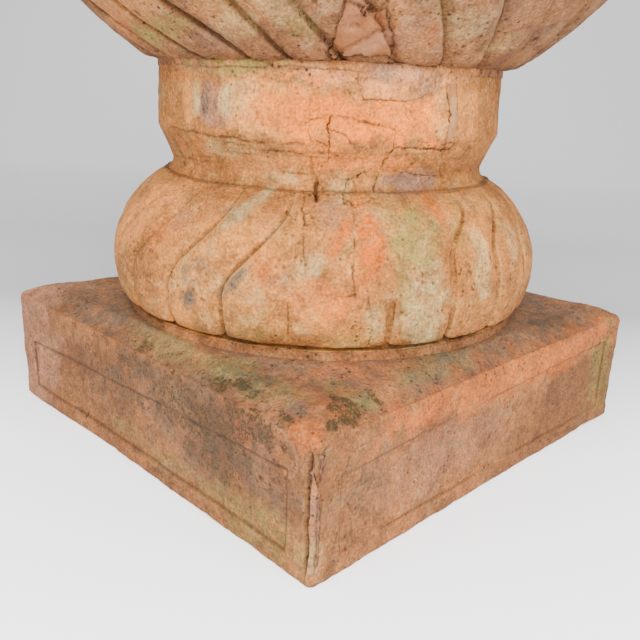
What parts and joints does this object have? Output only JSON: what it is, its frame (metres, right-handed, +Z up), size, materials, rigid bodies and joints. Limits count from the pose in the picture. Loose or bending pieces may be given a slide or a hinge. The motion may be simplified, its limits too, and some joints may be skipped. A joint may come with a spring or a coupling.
{
  "type": "terracotta garden urn",
  "caption": "Antique terracotta garden urn: square panelled plinth, swirl-gadrooned socle and neck, and a wide swirl-gadrooned bowl with a rolled rim and drain hole.",
  "frame": {"origin": "centre of the plinth's underside", "axes": "+Z up along the urn's axis; +X and +Y square to two of the plinth's sides; the worn corner is towards +X -Y"},
  "size_m": [0.6697, 0.6696, 0.65],
  "materials": {
    "terracotta_plinth": "weathered unglazed terracotta with lichen",
    "terracotta_socle": "weathered unglazed terracotta with pale bloom",
    "terracotta_bowl": "pitted, browner unglazed terracotta",
    "mortar": "rough tinted mortar",
    "filler": "smooth reddish repair filler"
  },
  "bodies": {
    "root": {"plinth": "terracotta_plinth", "plinth_corner_filler": "filler", "socle_bed_mortar": "mortar", "socle": "terracotta_socle", "neck_sherd_small": "terracotta_socle", "neck_sherd_large": "terracotta_socle", "neck_sherd_lower": "terracotta_socle", "neck_sherd_right": "terracotta_socle", "neck_crack_filler": "mortar", "bowl_bed_mortar": "mortar", "bowl_joint_smear": "mortar", "bowl_repair_patch": "filler", "bowl": "terracotta_bowl"}
  },
  "joints": []
}
